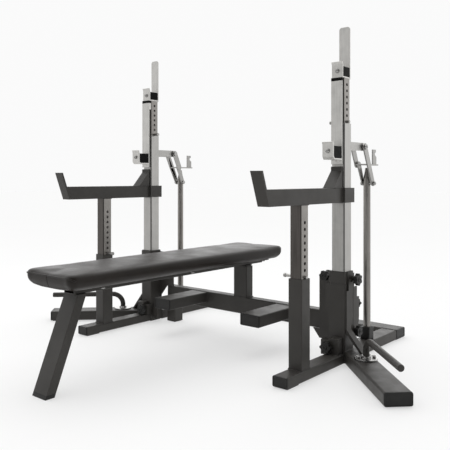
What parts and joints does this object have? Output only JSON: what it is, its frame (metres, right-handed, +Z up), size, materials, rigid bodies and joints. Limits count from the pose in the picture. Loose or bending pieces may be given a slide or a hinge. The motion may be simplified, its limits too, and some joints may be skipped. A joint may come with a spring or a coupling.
{
  "type": "squat and bench rack with flat bench",
  "caption": "Competition combo rack with height-adjustable columns, hooks, spotter arms, lift levers and a docking flat bench.",
  "frame": {"origin": "middle of the footprint, on the floor", "axes": "+X across the rack towards its right-hand column, +Y from the bench foot to the back of the rack, +Z up"},
  "size_m": [2.0308, 1.589, 1.383],
  "materials": {
    "powder_coat": "fine-textured satin black powder coat",
    "bare_steel": "dull zinc-plated, lightly brushed",
    "drawn_steel": "drawn tube, darker and slightly brown",
    "bright_fasteners": "bright zinc and chrome",
    "moulded_plastic": "matt moulded",
    "liner_plastic": "machined, slightly waxy",
    "rubber_pads": "matt",
    "vinyl": "fine-grained black vinyl, soft sheen"
  },
  "bodies": {
    "rack_frame": {"left_front_foot": "powder_coat", "right_front_foot": "powder_coat", "leg_sleeves": "powder_coat", "rear_feet": "powder_coat", "left_side_foot": "powder_coat", "right_side_foot": "powder_coat", "left_housing": "powder_coat", "right_housing": "powder_coat", "left_outer_column": "bare_steel", "right_outer_column": "bare_steel", "lever_brackets": "bare_steel", "cross_bar": "powder_coat", "frame_arms": "powder_coat", "rear_tube": "powder_coat", "rear_post": "powder_coat", "foot_caps": "moulded_plastic", "foot_pads": "rubber_pads", "rod_clips": "moulded_plastic", "handle_flanges": "bright_fasteners"},
    "left_column": {"left_inner_column": "drawn_steel", "left_squat_hook": "bare_steel", "left_bench_hook": "bare_steel", "left_hook_liners": "liner_plastic", "left_hook_bolts": "bright_fasteners"},
    "left_column_lock": {"left_column_pin": "bare_steel"},
    "left_arm": {"left_spotter_arm": "powder_coat", "left_arm_leg": "drawn_steel"},
    "left_leg_lock": {"left_leg_pin": "bare_steel"},
    "left_lever": {"left_lever_head": "bare_steel", "left_lever_rod": "drawn_steel", "left_lever_pins": "bright_fasteners"},
    "left_handle": {"left_lift_handle": "powder_coat"},
    "left_side_screw": {"left_side_knob": "moulded_plastic"},
    "left_front_screw": {"left_front_knob": "moulded_plastic"},
    "left_rear_screw": {"left_rear_knob": "moulded_plastic"},
    "left_top_screw": {"left_top_knob": "moulded_plastic"},
    "left_low_screw": {"left_low_knob": "moulded_plastic"},
    "right_column": {"right_inner_column": "drawn_steel", "right_squat_hook": "bare_steel", "right_bench_hook": "bare_steel", "right_hook_liners": "liner_plastic", "right_hook_bolts": "bright_fasteners"},
    "right_column_lock": {"right_column_pin": "bare_steel"},
    "right_arm": {"right_spotter_arm": "powder_coat", "right_arm_leg": "drawn_steel"},
    "right_leg_lock": {"right_leg_pin": "bare_steel"},
    "right_lever": {"right_lever_head": "bare_steel", "right_lever_rod": "drawn_steel", "right_lever_pins": "bright_fasteners"},
    "right_handle": {"right_lift_handle": "powder_coat"},
    "right_side_screw": {"right_side_knob": "moulded_plastic"},
    "right_front_screw": {"right_front_knob": "moulded_plastic"},
    "right_rear_screw": {"right_rear_knob": "moulded_plastic"},
    "right_top_screw": {"right_top_knob": "moulded_plastic"},
    "right_low_screw": {"right_low_knob": "moulded_plastic"},
    "bench": {"bench_pad": "vinyl", "bench_frame": "powder_coat", "bench_leg": "powder_coat", "bench_shoe": "moulded_plastic", "bench_bolts": "bright_fasteners"}
  },
  "joints": [
    {"name": "left_column_height", "type": "slide", "parent": "rack_frame", "child": "left_column", "axis": [0, 0, 1], "range_m": [0, 0.4572]},
    {"name": "left_column_pin_pull", "type": "slide", "parent": "rack_frame", "child": "left_column_lock", "axis": [1, 0, 0], "range_m": [0, 0.1]},
    {"name": "left_arm_height", "type": "slide", "parent": "rack_frame", "child": "left_arm", "axis": [0, 0, 1], "range_m": [-0.1524, 0]},
    {"name": "left_leg_pin_pull", "type": "slide", "parent": "rack_frame", "child": "left_leg_lock", "axis": [1, 0, 0], "range_m": [0, 0.1]},
    {"name": "left_lever_swing", "type": "hinge", "parent": "rack_frame", "child": "left_lever", "pos_m": [-0.575, 0.4085, 0.889], "axis": [1, 0, 0], "range_deg": [0, 110]},
    {"name": "left_handle_turn", "type": "hinge", "parent": "rack_frame", "child": "left_handle", "pos_m": [-0.723, 0.1905, 0.051], "axis": [0, 0, -1], "range_deg": [0, 90]},
    {"name": "left_side_knob_turn", "type": "hinge", "parent": "rack_frame", "child": "left_side_screw", "pos_m": [-0.6, 0.2815, 0.34], "axis": [1, 0, 0], "continuous": true},
    {"name": "left_front_knob_turn", "type": "hinge", "parent": "rack_frame", "child": "left_front_screw", "pos_m": [-0.553, 0.2005, 0.07], "axis": [0, 1, 0], "continuous": true},
    {"name": "left_rear_knob_turn", "type": "hinge", "parent": "rack_frame", "child": "left_rear_screw", "pos_m": [-0.575, 0.3525, 0.22], "axis": [0, 1, 0], "continuous": true},
    {"name": "left_top_knob_turn", "type": "hinge", "parent": "rack_frame", "child": "left_top_screw", "pos_m": [-0.496, 0.2865, 0.345], "axis": [0, 1, 0], "continuous": true},
    {"name": "left_low_knob_turn", "type": "hinge", "parent": "rack_frame", "child": "left_low_screw", "pos_m": [-0.6, 0.3105, 0.121], "axis": [1, 0, 0], "continuous": true},
    {"name": "right_column_height", "type": "slide", "parent": "rack_frame", "child": "right_column", "axis": [0, 0, 1], "range_m": [0, 0.4572]},
    {"name": "right_column_pin_pull", "type": "slide", "parent": "rack_frame", "child": "right_column_lock", "axis": [-1, 0, 0], "range_m": [0, 0.1]},
    {"name": "right_arm_height", "type": "slide", "parent": "rack_frame", "child": "right_arm", "axis": [0, 0, 1], "range_m": [-0.1524, 0]},
    {"name": "right_leg_pin_pull", "type": "slide", "parent": "rack_frame", "child": "right_leg_lock", "axis": [-1, 0, 0], "range_m": [0, 0.1]},
    {"name": "right_lever_swing", "type": "hinge", "parent": "rack_frame", "child": "right_lever", "pos_m": [0.575, 0.4085, 0.889], "axis": [1, 0, 0], "range_deg": [0, 110]},
    {"name": "right_handle_turn", "type": "hinge", "parent": "rack_frame", "child": "right_handle", "pos_m": [0.723, 0.1905, 0.051], "axis": [0, 0, 1], "range_deg": [0, 90]},
    {"name": "right_side_knob_turn", "type": "hinge", "parent": "rack_frame", "child": "right_side_screw", "pos_m": [0.6, 0.2815, 0.34], "axis": [1, 0, 0], "continuous": true},
    {"name": "right_front_knob_turn", "type": "hinge", "parent": "rack_frame", "child": "right_front_screw", "pos_m": [0.553, 0.2005, 0.07], "axis": [0, 1, 0], "continuous": true},
    {"name": "right_rear_knob_turn", "type": "hinge", "parent": "rack_frame", "child": "right_rear_screw", "pos_m": [0.575, 0.3525, 0.22], "axis": [0, 1, 0], "continuous": true},
    {"name": "right_top_knob_turn", "type": "hinge", "parent": "rack_frame", "child": "right_top_screw", "pos_m": [0.496, 0.2865, 0.345], "axis": [0, 1, 0], "continuous": true},
    {"name": "right_low_knob_turn", "type": "hinge", "parent": "rack_frame", "child": "right_low_screw", "pos_m": [0.6, 0.3105, 0.121], "axis": [1, 0, 0], "continuous": true},
    {"name": "bench_lift_off", "type": "slide", "parent": "rack_frame", "child": "bench", "axis": [0, 0, 1], "range_m": [0, 0.15]}
  ]
}
